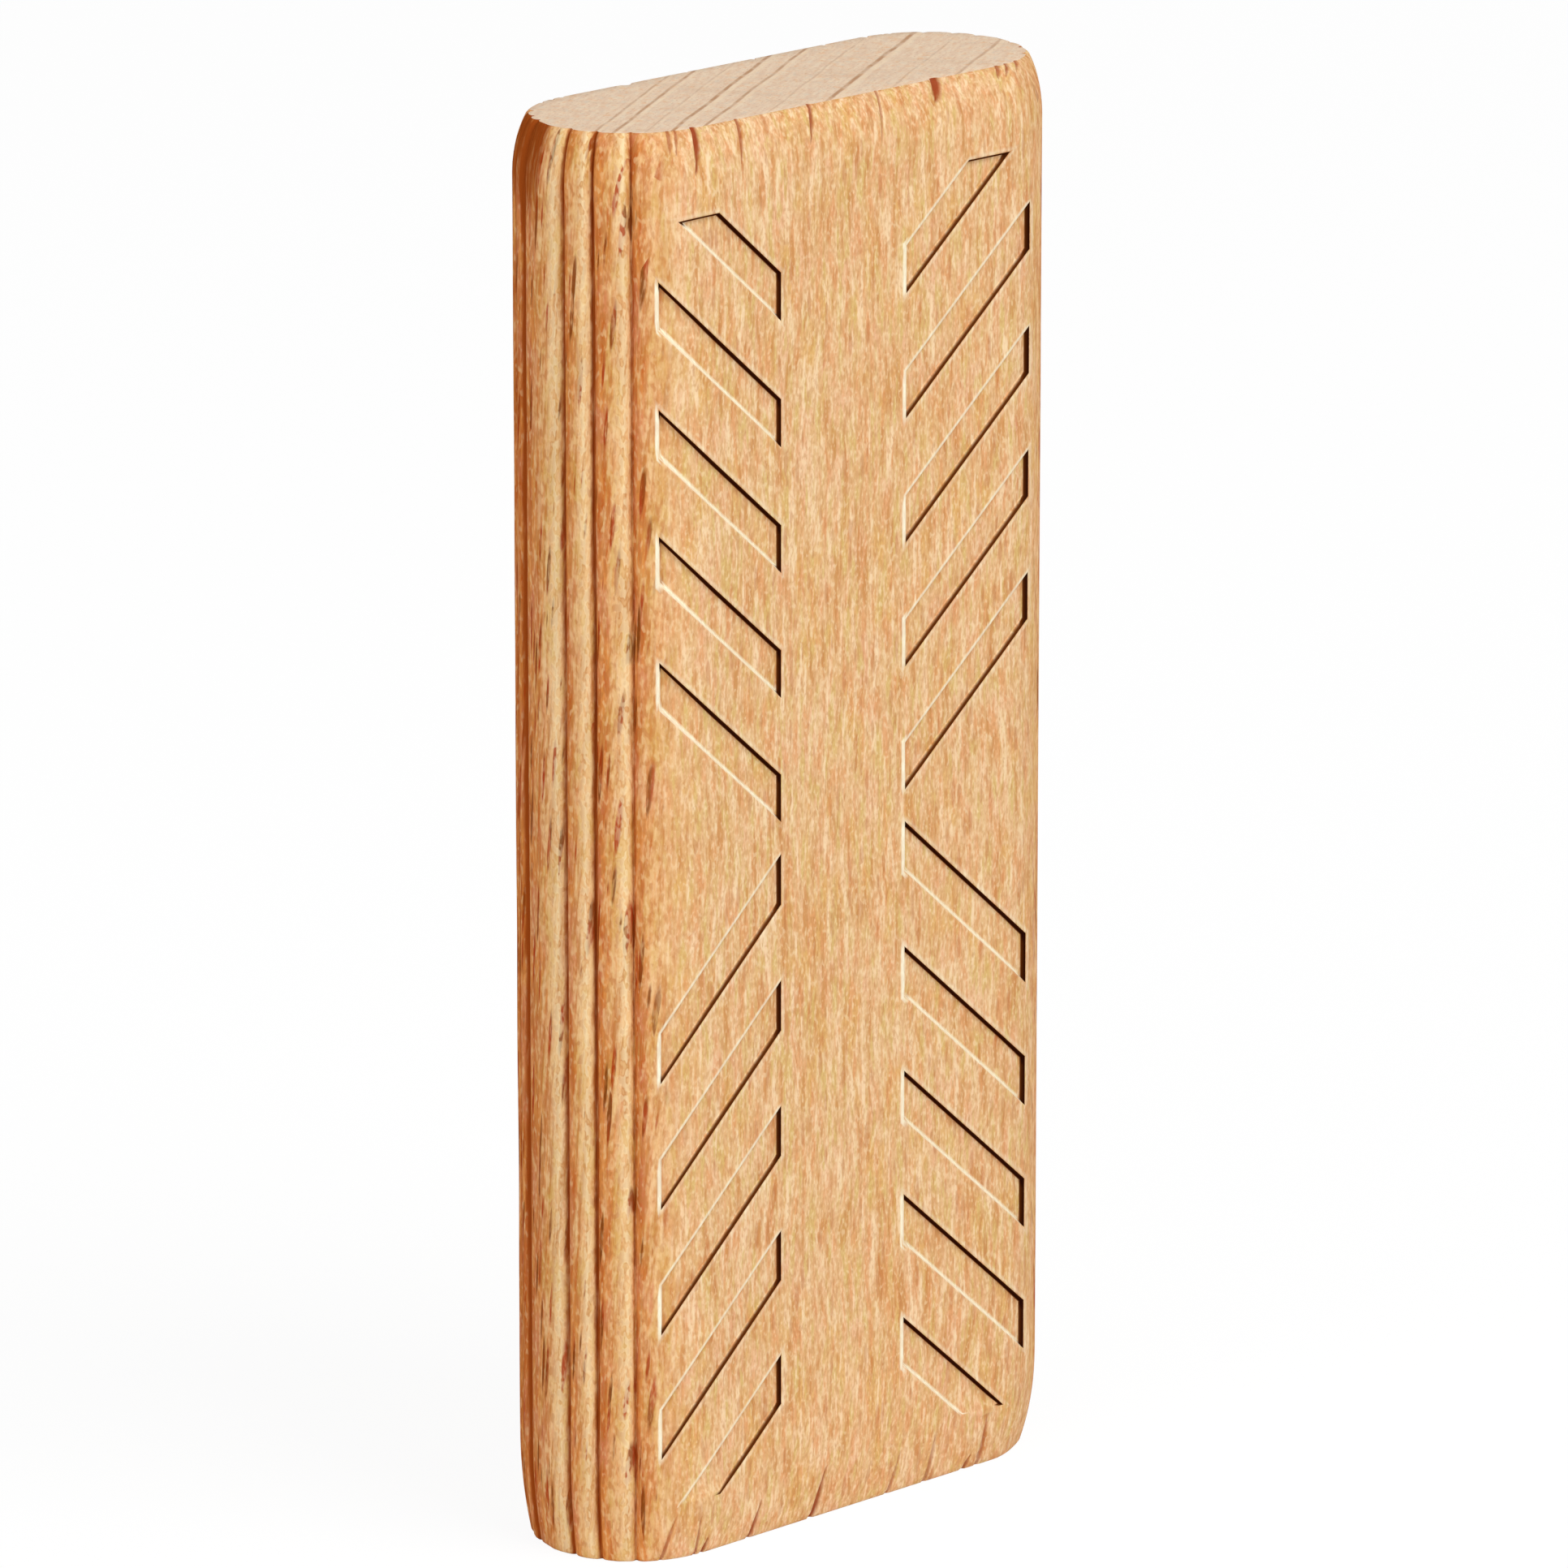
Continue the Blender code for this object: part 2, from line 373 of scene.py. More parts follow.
def flute_depth(u, z, face):
    """Depth of the flutes and ribs, with the weights of stain and painted shade in the flutes,
    painted shade on the flanks and a painted highlight on the ridges.
    """
    depth = np.zeros_like(u)
    groove = np.zeros_like(u)
    flank_shade = np.zeros_like(u)
    ridge_highlight = np.zeros_like(u)
    for side in (-1, 1):
        places = flute_places(drift_of(face, side))
        beyond = flute_places(drift_of(-face, side))[-1]
        reach = np.where(u * side > 0, np.abs(u), 0.0)
        line = np.column_stack([np.full_like(z, side * WANDER_APART), z])
        wander = wave(line, WANDER_SCALE, WANDER_SEED) * WANDER
        calm_from, calm_to = HALF_STRIP - WANDER_FADES_FROM, HALF_STRIP - WANDER_FADES_TO
        reach = reach + wander * ramp_down(reach, calm_from, calm_to)
        edges = places + [2 * HALF_STRIP - beyond]
        for start, end in zip(edges, edges[1:]):
            inside = (reach >= start) & (reach <= end)
            along = (reach - start) / (end - start)
            from_flute = np.minimum(reach - start, end - reach)
            fall = np.clip(1 - from_flute / FLUTE_HALF_WIDTH, 0, 1) ** FLUTE_SHARPNESS
            depth += inside * RIB_CROWN * (2 * along - 1) ** 2
            depth += inside * (FLUTE_DEPTH - RIB_CROWN) * fall
            beside_shoulder = (along < 0.5) & (start == places[0])
            # Stain and painted shade in each flute, less of it beside the shoulder
            stain_and_shade = np.where(beside_shoulder, SHOULDER_STAIN_AND_SHADE, 1.0)
            groove += inside * stain_and_shade * np.clip(1 - from_flute / STAIN_AND_SHADE_HALF_WIDTH, 0, 1)
            off_seam = end <= HALF_STRIP
            shade_from = FLANK_START if off_seam or side > 0 else SEAM_FLANK_START
            if face < 0 or side > 0:
                # Painted shade on the part of each rib that lies away from the broad face
                flank_shade += inside * np.clip((along - shade_from) / FLANK_SPAN, 0, 1)
                # Painted highlight on the ridge beside each flute
                ridge_highlight += inside * np.interp(reach - start, RIDGE_SPAN, (0.0, 1.0, 0.0))
            else:
                # Far side of the edge in view: painted shade over each whole rib off the seam, and
                # darker towards the top end
                least = 1.0 if off_seam else 0.0
                flank_shade += inside * np.clip((1 - along - shade_from) / FLANK_SPAN, least, 1)
                top_darkening = TOP_DARKENING * ramp_down(LENGTH - z, *TOP_DARKENING_SPAN)
                groove += inside * np.maximum(top_darkening, FAR_RIB_PAINTED_SHADE * least)
        from_flute = np.clip(places[0] - reach, 0, None)
        shoulder = (reach < places[0]) * (reach > HALF_FLAT)
        depth += shoulder * FLUTE_DEPTH * np.clip(1 - from_flute / SHOULDER_WIDTH, 0, 1) ** 2
        # Stain and painted shade on the shoulder beside the innermost flute, and painted shade on
        # its flank
        stain_and_shade = SHOULDER_STAIN_AND_SHADE * np.clip(1 - from_flute / SHOULDER_STAIN_AND_SHADE_WIDTH, 0, 1)
        groove += shoulder * stain_and_shade
        flank_shade += shoulder * np.clip(1 - from_flute / SHOULDER_FLANK_WIDTH, 0, 1)
        rib = ramp_up(reach, places[0], places[0] + RIB_WAVER_BLEND)
        uneven = wave(np.column_stack([u, z]), RIB_WAVER_SCALE, RIB_WAVER_SEED) * RIB_WAVER
        depth += rib * (uneven + RIB_WAVER)
    from_end = np.minimum(z, LENGTH - z)
    near_end = np.clip(1 - from_end / FOOT_ROUNDING[0], 0, 1) ** 2
    return depth * (1 - (1 - FLUTE_SHARE_AT_END) * near_end), groove, flank_shade, ridge_highlight


def clipped(outline, limit):
    """Part of a convex outline at or below a level."""
    kept = []
    for i, point in enumerate(outline):
        before = outline[i - 1]
        if (before.y - limit) * (point.y - limit) < 0:
            kept.append(before.lerp(point, (limit - before.y) / (point.y - before.y)))
        if point.y <= limit:
            kept.append(point)
    return kept


def pocket_outlines(columns, halves):
    """Outlines of the pockets of one face, as (x, z) points, anticlockwise."""
    outlines = []
    for way, low, pitch, height, rise, reach in halves:
        while low + height < reach:
            for inner, outer in columns:
                bar = [
                    Vector((inner, low)),
                    Vector((outer, low + rise)),
                    Vector((outer, low + rise + height)),
                    Vector((inner, low + height)),
                ]
                placed = [Vector((p.x, MIDDLE + way * p.y)) for p in clipped(bar, reach)]
                outlines.append(placed if way * outer > 0 else placed[::-1])
            low += pitch
    return outlines


OUTLINES = {
    -1: pocket_outlines(SEEN_COLUMNS, SEEN_HALVES),
    1: pocket_outlines(HIDDEN_COLUMNS, HIDDEN_HALVES),
}


def side_normals(outline):
    """Outward normal of each side of an anticlockwise outline."""
    normals = []
    for i, point in enumerate(outline):
        along = (outline[(i + 1) % len(outline)] - point).normalized()
        normals.append(Vector((along.y, -along.x)))
    return normals


def distances_outside(x, z, outline):
    """Distance of points outside each side of an outline, negative inside it."""
    sides = [
        normal.x * (x - point.x) + normal.y * (z - point.y)
        for point, normal in zip(outline, side_normals(outline))
    ]
    return np.array(sides)


def grown(outline, distance):
    """Convex outline, anticlockwise, with each side moved outwards."""
    lines = []
    for i, (point, normal) in enumerate(zip(outline, side_normals(outline))):
        after = outline[(i + 1) % len(outline)]
        reach = (after - point).normalized() * WIDTH
        shift = normal * distance
        lines.append((point + shift - reach, after + shift + reach))
    return [intersect_line_line_2d(*lines[i - 1], *lines[i]) for i in range(len(lines))]


def pocket_relief(u, z, face):
    """Depth of the pockets, with the weights of the painted shade and highlight on their walls."""
    x, z = pattern_place(u, z, face)
    depth = np.zeros_like(x)
    painted_wall_shade = np.zeros_like(x)
    painted_wall_highlight = np.zeros_like(x)
    run_out = ramp_up(z, *FOOT_RUNOUT)
    directions, *tones = zip(*WALL_PAINTED_LIGHT)
    for outline in OUTLINES[face]:
        sides = distances_outside(x, z, outline)
        away = sides.max(0)
        near = away < LIP_WIDTH
        inward = np.clip(-away, 0, None)
        wall_share = np.clip(inward / POCKET_WALL, 0, 1)
        crown = np.clip((inward - POCKET_WALL) / POCKET_CROWN_WIDTH, 0, 1)
        floor = POCKET_DEPTH - POCKET_FLOOR_CROWN * crown
        lip = np.interp(away, (-RIM_OVERLAP, LIP_PEAK, LIP_WIDTH), (LIP_AT_RIM, 1.0, 0.0))
        lip = lip * (away > -RIM_OVERLAP)
        depth += near * run_out * (wall_share * floor - LIP_HEIGHT * lip)
        ways = [math.degrees(math.atan2(way.y, way.x)) for way in side_normals(outline)]
        found = [np.interp(ways, directions, tone)[:, None] for tone in tones]
        shade_weight, highlight_weight, width, start = found
        walls = np.interp((sides - start) / width, *TONE_PROFILE)
        nearest = sides == away
        past_dark = np.where(shade_weight > DARK_ENOUGH, sides, -WIDTH).max(0)
        halo_highlight = np.interp(away, (0.0, LIP_PEAK, LIP_WIDTH), (0.0, HALO_HIGHLIGHT, 0.0)) * (away > 0)
        painted_wall_shade += (away < RIM_OVERLAP) * (walls * shade_weight).max(0)
        light = (nearest * walls * highlight_weight).max(0) * ramp_down(past_dark, *PALE_END)
        painted_wall_highlight += near * (light + halo_highlight * (nearest * shade_weight).max(0))
    return depth, painted_wall_shade, painted_wall_highlight


def tear_frames(face):
    """Tears of one face as (mouth, direction, length, width, depth), on the strip."""
    frames = []
    for tears, start, way in ((TOP_TEARS, LENGTH, -1), (FOOT_TEARS, 0.0, 1)):
        for x, length, width, depth, lean in tears:
            mouth = Vector((face * strip_u(x), start))
            tip = Vector((face * (strip_u(x) + lean), start + way * length))
            frames.append((mouth, (tip - mouth).normalized(), length, width, depth))
    return frames


def tear_place(u, z, mouth, way):
    """Distances of points from a tear's mouth, along the tear and across it."""
    along = (u - mouth.x) * way.x + (z - mouth.y) * way.y
    across = (u - mouth.x) * way.y - (z - mouth.y) * way.x
    return along, across


def tear_relief(u, z, tears):
    """Depth of the tears, with the weight of their stain."""
    depth = np.zeros_like(u)
    torn = np.zeros_like(u)
    for mouth, way, length, width, deep in tears:
        along, across = tear_place(u, z, mouth, way)
        share = np.clip(along / length, 0, 1)
        narrowing = np.sqrt(np.clip(1 - share**TEAR_NARROWING, 0, 1))
        half = 0.5 * width * narrowing + TEAR_TIP
        hollow = np.clip(1 - np.abs(across) / half, 0, 1) * (along < length)
        fall = np.clip(hollow * TEAR_STEEPNESS, 0, 1)
        depth = np.maximum(depth, deep * fall * (1 - TEAR_RISE * share))
        strength = (deep / TEAR_FULL_STAIN) ** 0.5
        torn = np.maximum(torn, np.clip(hollow * TEAR_STAIN_STEEPNESS, 0, 1) * strength)
    return depth, torn


def surface(u, z, face, tears):
    """Depth of the relief, and the named weights that colour it, at points of a strip."""
    flutes, groove, flank_shade, ridge_highlight = flute_depth(u, z, face)
    pockets, painted_wall_shade, painted_wall_highlight = pocket_relief(u, z, face)
    tear, torn = tear_relief(u, z, tears)
    swell = wave(np.column_stack([u, z]), SWELL_SCALE, SWELL_SEED + face) * SWELL
    depth = FACE_SINK + rounding_depth(u, z) + flutes + pockets + tear + swell
    blend_from, blend_to = EDGE_BLEND
    edge = ramp_up(np.abs(u), HALF_FLAT + blend_from, HALF_FLAT + blend_to)
    values = (groove, flank_shade, ridge_highlight, painted_wall_shade, painted_wall_highlight, torn, edge)
    return depth, dict(zip(WEIGHTS, values))


def edge_columns(face, side):
    """Places of the columns of one half-round edge, closer together at the flutes."""
    places = flute_places(drift_of(face, side))
    across = 2 * HALF_STRIP - flute_places(drift_of(-face, side))[-1]
    found = []
    shoulder = HALF_FLAT + GRID_STEP
    while shoulder < places[0] + FLUTE_COLUMNS[0] - GRID_STEP / 2:
        found.append(shoulder)
        shoulder += GRID_STEP
    for place, after in zip(places, places[1:] + [across]):
        found += [place + offset for offset in FLUTE_COLUMNS]
        found.append((place + after) / 2)
    return [u for u in found if u < HALF_STRIP - SEAM_CLEARANCE] + [HALF_STRIP]


def columns(face):
    """Places of the grid's columns, across a strip."""
    count = round(2 * HALF_FLAT / GRID_STEP)
    flat = [HALF_FLAT * (2 * i / count - 1) for i in range(count + 1)]
    left = [-u for u in reversed(edge_columns(face, -1))]
    return left + flat + edge_columns(face, 1)


def rows():
    """Heights of the grid's rows, closer together towards the ends."""
    lower = list(END_ROWS)
    gap = LENGTH - 2 * lower[-1]
    count = round(gap / GRID_STEP)
    between = [lower[-1] + gap * i / count for i in range(1, count)]
    return lower + between + [LENGTH - z for z in reversed(lower)]


def ring_points(outline):
    """Rings of points round a pocket, at the same shares of each side."""
    corners = [grown(outline, distance) for distance in POCKET_RINGS]
    rings = [[] for _ in corners]
    for i, point in enumerate(outline):
        after = outline[(i + 1) % len(outline)]
        steps = max(2, round((after - point).length / GRID_STEP))
        for ring, corner in zip(rings, corners):
            start, end = corner[i], corner[(i + 1) % len(corner)]
            ring += [start.lerp(end, step / steps) for step in range(steps)]
    return rings


def tear_points(tears):
    """Points along and across each tear, on the strip."""
    points = []
    for mouth, way, length, width, _ in tears:
        side = Vector((way.y, -way.x))
        for along in TEAR_STEPS:
            for across in TEAR_OFFSETS:
                point = mouth + way * along * length + side * across * width
                if along == 0.0:
                    point = Vector((mouth.x + across * width, mouth.y))
                points.append(point)
    return points


def strip_layout(tears, face):
    """Points of a strip and the edges that its triangles must keep."""
    grid = np.array([(u, z) for z in rows() for u in columns(face)])
    u, z = grid[:, 0], grid[:, 1]
    keep = np.ones(len(grid), bool)
    x, over = pattern_place(u, z, face)
    for outline in OUTLINES[face]:
        keep &= distances_outside(x, over, outline).max(0) > POCKET_CLEARANCE
    for mouth, way, length, width, _ in tears:
        along, across = tear_place(u, z, mouth, way)
        taken = (along > -TEAR_MOUTH_CLEARANCE) & (along < TEAR_REACH * length)
        taken &= np.abs(across) < TEAR_SIDE_REACH * width
        keep &= ~taken
    points = [Vector(p) for p in grid[keep]]
    edges = []
    for outline in OUTLINES[face]:
        for ring in ring_points(outline):
            first = len(points)
            points += [strip_place(p, face) for p in ring]
            count = len(ring)
            edges += [(first + i, first + (i + 1) % count) for i in range(count)]
    points += [p for p in tear_points(tears) if 0 <= p.y <= LENGTH]
    return points, edges


def triangulated(points, edges, enclosed=False):
    """Triangles through points that keep the edges, or only those that the edges enclose."""
    done = delaunay_2d_cdt(points, edges, [], int(enclosed), POINT_TOLERANCE)
    return np.array([(p.x, p.y) for p in done[0]]), [tuple(face) for face in done[2]]


def wrapped(u, z, depth, face):
    """Points of a strip, wrapped round the section and pushed in by a depth."""
    beyond = np.clip(np.abs(u) - HALF_FLAT, 0, None) / RADIUS
    out = RADIUS - depth
    x = np.sign(u) * (np.minimum(np.abs(u), HALF_FLAT) + out * np.sin(beyond))
    return np.column_stack([x, face * out * np.cos(beyond), z])


def cap_layout(loop):
    """Points inside an end face whose outline is given, with the outline's edges."""
    outline = [Vector(p[:2]) for p in loop]
    count = len(outline)
    edges = [(i, (i + 1) % count) for i in range(count)]
    points = list(outline)
    inset = max(TOP_ROUNDING[1] + CHEEK_EXTRA_INSET, FOOT_ROUNDING[1] + FOOT_CORNER_INSET)
    inset += WORN_EDGE_INSET
    inner_radius = RADIUS - FACE_SINK - inset - CAP_MARGIN
    across = round(2 * (HALF_FLAT + inner_radius) / CAP_STEP)
    through = round(2 * inner_radius / CAP_STEP)
    for i in range(across + 1):
        x = (HALF_FLAT + inner_radius) * (2 * i / across - 1)
        for j in range(through + 1):
            y = inner_radius * (2 * j / through - 1)
            if math.hypot(max(abs(x) - HALF_FLAT, 0), y) < inner_radius - CAP_FLUTE_MARGIN:
                points.append(Vector((x, y)))
    return points, edges


class Skin:
    """Vertices of the wood, with the weights that colour them."""

    def __init__(self):
        self.vertices = []
        self.weights = {name: [] for name in WEIGHTS}

    def add(self, place, values):
        """Number of a new vertex. Weights that aren't given are 0."""
        self.vertices.append(place)
        for name, found in self.weights.items():
            found.append(values.get(name, 0.0))
        return len(self.vertices) - 1


def strip_faces(skin, face, seam, rims):
    """Faces of one strip, whose vertices join the skin, the seam and the rims of the ends."""
    tears = tear_frames(-face)
    flat, triangles = triangulated(*strip_layout(tears, face))
    u, z = flat[:, 0], flat[:, 1]
    u = np.where(np.abs(np.abs(u) - HALF_STRIP) < SEAM_TOLERANCE, np.sign(u) * HALF_STRIP, u)
    depth, weights = surface(u, z, face, tears)
    placed = wrapped(u, z, depth, face)
    index = []
    for i in range(len(flat)):
        key = (u[i] > 0, round(z[i], SEAM_DIGITS))
        at_seam = abs(u[i]) == HALF_STRIP
        if at_seam and key in seam:
            index.append(seam[key])
        else:
            index.append(skin.add(placed[i], {name: found[i] for name, found in weights.items()}))
        if at_seam:
            seam[key] = index[i]
        for level, rim in rims.items():
            if abs(z[i] - level) < LEVEL_TOLERANCE:
                rim[(face, u[i])] = index[i]
    corners = [[index[i] for i in triangle] for triangle in triangles]
    return corners if face < 0 else [around[::-1] for around in corners]


def cap_faces(skin, level, rim):
    """Faces of the end face that the rim at a level encloses."""
    front = sorted(u for face, u in rim if face < 0)
    back = sorted((u for face, u in rim if face > 0), reverse=True)
    loop = [rim[(-1, u)] for u in front] + [rim[(1, u)] for u in back[1:-1]]
    outline = [skin.vertices[i] for i in loop]
    flat, triangles = triangulated(*cap_layout(outline), enclosed=True)
    index = loop + [skin.add((x, y, level), {}) for x, y in flat[len(loop):]]
    corners = [[index[i] for i in triangle] for triangle in triangles]
    return corners if level else [around[::-1] for around in corners]


def wood_object(side_material, end_material):
    """The whole tenon: two strips that meet on the edges' centre lines, and two end faces."""
    skin = Skin()
    seam = {}
    rims = {0.0: {}, LENGTH: {}}
    sides = strip_faces(skin, -1, seam, rims) + strip_faces(skin, 1, seam, rims)
    ends = [corners for level, rim in rims.items() for corners in cap_faces(skin, level, rim)]
    data = bpy.data.meshes.new("tenon_wood")
    data.from_pydata([Vector(place) * MM for place in skin.vertices], [], sides + ends)
    data.materials.append(side_material)
    data.materials.append(end_material)
    data.polygons.foreach_set("material_index", [0] * len(sides) + [1] * len(ends))
    for name, values in skin.weights.items():
        layer = data.attributes.new(name, "FLOAT", "POINT")
        layer.data.foreach_set("value", np.array(values, np.float32))
    data.shade_smooth()
    data.set_sharp_from_angle(angle=SMOOTH_ANGLE)
    item = bpy.data.objects.new("tenon_wood", data)
    bpy.context.scene.collection.objects.link(item)
    return item


def linear(red, green, blue):
    """Colour for a shader, from the 0 to 255 values that a screen shows."""
    parts = [value / 255 for value in (red, green, blue)]
    return tuple(p / 12.92 if p < 0.04045 else ((p + 0.055) / 1.055) ** 2.4 for p in parts) + (1.0,)


class Shade:
    """Short names for the nodes of one material."""

    def __init__(self, name):
        self.material = bpy.data.materials.new(name)
        self.material.use_nodes = True
        self.tree = self.material.node_tree
        self.shader = self.tree.nodes["Principled BSDF"]

    def put(self, socket, value):
        if isinstance(value, bpy.types.NodeSocket):
            self.tree.links.new(value, socket)
        else:
            socket.default_value = value

    def node(self, kind, values=(), **settings):
        made = self.tree.nodes.new(kind)
        for name, value in settings.items():
            setattr(made, name, value)
        for key, value in dict(values).items():
            self.put(made.inputs[key], value)
        return made

    def math(self, operation, *values, clamp=False):
        made = self.node("ShaderNodeMath", enumerate(values), operation=operation, use_clamp=clamp)
        return made.outputs[0]

    def vector(self, operation, *values):
        made = self.node("ShaderNodeVectorMath", enumerate(values), operation=operation)
        return made.outputs[0]

    def weight(self, name):
        return self.node("ShaderNodeAttribute", attribute_name=name).outputs["Fac"]

    def spread(self, value, low, high, to_low=0.0, to_high=1.0):
        """Value from low to high, smoothly set to another range."""
        values = {
            "Value": value,
            "From Min": low,
            "From Max": high,
            "To Min": to_low,
            "To Max": to_high,
        }
        made = self.node("ShaderNodeMapRange", values, interpolation_type="SMOOTHSTEP")
        return made.outputs[0]

    def noise(self, place, scale, detail=2.0, roughness=0.5):
        """Noise whose grain is 1 / scale millimetres along each axis of place."""
        at = self.vector("MULTIPLY", place, scale)
        values = {"Vector": at, "Scale": 1.0, "Detail": detail, "Roughness": roughness}
        return self.node("ShaderNodeTexNoise", values).outputs["Fac"]

    def flecks(self, across, along, least):
        """Lens-shaped flecks, of uneven size, in the cells whose chance is above the least."""
        at = self.node("ShaderNodeCombineXYZ", {0: across, 1: along}).outputs[0]
        values = {"Vector": at, "Scale": 1.0}
        made = self.node("ShaderNodeTexVoronoi", values, voronoi_dimensions="2D")
        chance = self.node("ShaderNodeSeparateColor", {"Color": made.outputs["Color"]}).outputs[0]
        size = self.spread(chance, least, 1.0, 0.02, 0.42)
        drawn = self.math("GREATER_THAN", chance, least)
        share = self.math("SUBTRACT", size, made.outputs["Distance"])
        return self.math("MULTIPLY", self.math("DIVIDE", share, 0.12, clamp=True), drawn)

    def mix(self, factor, first, second):
        made = self.node("ShaderNodeMix", data_type="RGBA", blend_type="MIX")
        self.put(made.inputs[0], factor)
        self.put(made.inputs[6], first)
        self.put(made.inputs[7], second)
        return made.outputs[2]

    def layers(self, colour, rows, share=None):
        """Colour under layers of (weight, none at, full at, strength, tone), by a share."""
        for weight, none_at, full_at, strength, tone in rows:
            amount = self.spread(weight, none_at, full_at, 0.0, strength)
            if share is not None:
                amount = self.math("MULTIPLY", share, amount)
            colour = self.mix(amount, colour, linear(*tone))
        return colour

    def wood_place(self, turn=0.0):
        """Place in the wood in millimetres, in axes turned by an angle about the length."""
        place = self.node("ShaderNodeTexCoord").outputs["Object"]
        values = {"Vector": place, "Rotation": (0.0, 0.0, -turn), "Scale": (1 / MM,) * 3}
        return self.node("ShaderNodeMapping", values, vector_type="POINT").outputs[0]


def side_material():
    """Long grain: vertical fibre, ray flecks, flutes with stain and painted shade, and painted
    shade and highlight on the ribs and on the pocket walls.
    """
    s = Shade("beech_long_grain")
    place = s.wood_place()
    edge = s.weight("edge")
    groove = s.weight("groove")
    flank_shade = s.weight("flank_shade")
    painted_wall_shade = s.weight("rim_painted_shade")

    sway = s.noise(place, (0.16, 0.16, 0.20), 1.0)
    sway = s.math("MULTIPLY", s.math("SUBTRACT", sway, 0.5), 0.5)
    width, through, height = s.node("ShaderNodeSeparateXYZ", {0: place}).outputs
    bent = s.vector("ADD", place, s.node("ShaderNodeCombineXYZ", {0: sway, 1: sway}).outputs[0])
    lean = s.math("MULTIPLY", height, FLECK_LEAN)
    slanted = s.vector("ADD", bent, s.node("ShaderNodeCombineXYZ", {1: lean}).outputs[0])
    other = s.vector("ADD", bent, (31.0, 17.0, 53.0))

    # Grain of all sizes, from broad blotches to grit
    blotch = s.noise(bent, (0.22, 0.22, 0.10), 2.0)
    mottle = s.noise(other, (1.2, 1.2, 0.50), 3.0, 0.6)
    streak = s.noise(bent, (2.0, 2.0, 0.13), 3.0, 0.6)
    dash = s.noise(bent, (3.9, 3.9, 0.50), 2.0, 0.55)
    tint = s.noise(other, (3.8, 3.8, 0.62), 2.0, 0.55)
    thread = s.noise(other, (8.0, 8.0, 1.9), 2.0, 0.65)
    grit = s.noise(bent, (10.0, 10.0, 4.5), 1.0, 0.5)
    colour = s.mix(s.spread(blotch, 0.36, 0.64), linear(232, 188, 136), linear(226, 178, 122))
    grain = (
        (mottle, 0.50, 0.66, 0.75, (226, 174, 98)),
        (mottle, 0.48, 0.32, 0.65, (240, 186, 148)),
        (streak, 0.42, 0.66, 0.55, (236, 197, 150)),
        (tint, 0.50, 0.68, 0.80, (228, 161, 106)),
        (tint, 0.48, 0.32, 0.80, (220, 186, 112)),
        (dash, 0.54, 0.70, 0.75, (206, 142, 78)),
        (dash, 0.46, 0.30, 0.85, (249, 217, 174)),
        (thread, 0.54, 0.72, 0.48, (192, 124, 66)),
        (thread, 0.44, 0.28, 0.44, (250, 222, 178)),
        (grit, 0.52, 0.66, 0.42, (204, 144, 86)),
        (grit, 0.46, 0.32, 0.42, (250, 224, 180)),
    )
    colour = s.layers(colour, grain)

    # Fluted edge: warmer, with brown veins, pale crests that are a painted highlight, and
    # painted shade on one flank of each rib
    colour = s.mix(s.math("MULTIPLY", edge, 0.42), colour, linear(222, 154, 88))
    # Painted highlight on the crests, the parts of the ribs without painted shade
    crest_highlight = s.math("MULTIPLY", edge, s.math("SUBTRACT", 1.0, flank_shade, clamp=True))
    vein = s.noise(slanted, (3.0, 6.5, 0.34), 3.0, 0.65)
    lit = s.spread(vein, 0.36, 0.52, 0.50, 0.04)
    colour = s.mix(s.math("MULTIPLY", crest_highlight, lit), colour, linear(250, 212, 152))
    veins = (
        (vein, 0.50, 0.66, 0.80, (190, 116, 48)),
        (mottle, 0.48, 0.64, 0.45, (210, 166, 84)),
    )
    colour = s.layers(colour, veins, edge)
    rough_edge = s.noise(slanted, (3.0, 6.0, 0.55), 3.0, 0.6)
    # Painted shade on one flank of each rib, in warm browns
    flank_painted_shade = s.math("ADD", flank_shade, s.math("MULTIPLY_ADD", rough_edge, 2.2, -1.12))
    flank_shade_colour = s.mix(s.spread(dash, 0.38, 0.62), linear(222, 138, 66), linear(194, 92, 30))
    flank_shade_tones = (
        (mottle, 0.50, 0.36, 0.60, (214, 130, 94)),
        (thread, 0.46, 0.30, 0.60, (236, 168, 104)),
    )
    flank_shade_colour = s.layers(flank_shade_colour, flank_shade_tones)
    colour = s.mix(s.spread(flank_painted_shade, 0.05, 0.95, 0.0, 0.84), colour, flank_shade_colour)
    granule = s.noise(other, (6.5, 6.5, 3.0), 1.0)
    granules = (
        (granule, 0.52, 0.66, 0.60, (196, 122, 64)),
        (granule, 0.46, 0.30, 0.46, (244, 206, 150)),
    )
    colour = s.layers(colour, granules, edge)

    # Ray flecks: small ones on the broad faces, and long dark ones on the edges
    broken = s.spread(s.noise(slanted, (6.0, 10.0, 1.6), 2.0), 0.36, 0.54, 0.45, 1.0)
    leaning = s.math("ADD", through, lean)
    fleck = s.flecks(s.math("MULTIPLY", leaning, 4.6), s.math("MULTIPLY", height, 0.36), 0.38)
    fleck = s.math("MULTIPLY", fleck, broken)
    fleck = s.math("MULTIPLY", fleck, s.spread(edge, 0.2, 1.0, 0.0, 0.92))
    small = s.flecks(s.math("MULTIPLY", width, 3.6), s.math("MULTIPLY", height, 0.75), 0.70)
    small = s.math("MULTIPLY", small, s.spread(edge, 0.0, 0.5, 0.40, 0.0))
    hue = s.spread(s.noise(other, (0.9, 3.0, 0.3), 1.0), 0.40, 0.60)
    colour = s.mix(small, colour, linear(190, 116, 64))
    colour = s.mix(fleck, colour, s.mix(hue, linear(128, 64, 10), linear(172, 54, 10)))

